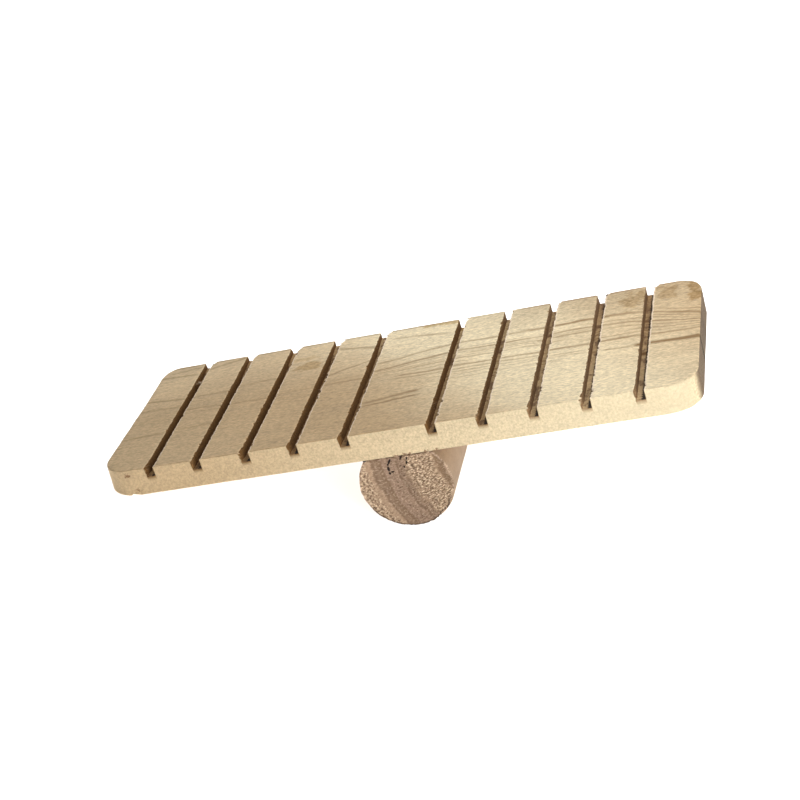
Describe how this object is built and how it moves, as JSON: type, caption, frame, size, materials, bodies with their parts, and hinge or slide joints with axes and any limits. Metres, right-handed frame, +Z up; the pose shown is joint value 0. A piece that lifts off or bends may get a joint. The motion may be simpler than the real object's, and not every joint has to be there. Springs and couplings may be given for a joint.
{
  "type": "seesaw",
  "caption": "Small wooden rodent seesaw: a grooved, round-cornered board glued across a flat-topped round rocker, resting on one end.",
  "frame": {"origin": "on the floor under the rocker's axis, at mid-width, where the rocker touches the floor", "axes": "+Z up, +X towards the raised end of the board, +Y across the board"},
  "size_m": [0.1852, 0.07, 0.0607],
  "materials": {
    "board_wood": "bare sanded softwood board, sawn end grain in the grooves",
    "rocker_wood": "bare turned softwood, sawn end grain",
    "wood_glue": "dried wood glue, slightly glossy"
  },
  "bodies": {
    "root": {"tread_board": "board_wood", "rocker": "rocker_wood", "glue_film": "wood_glue"}
  },
  "joints": []
}
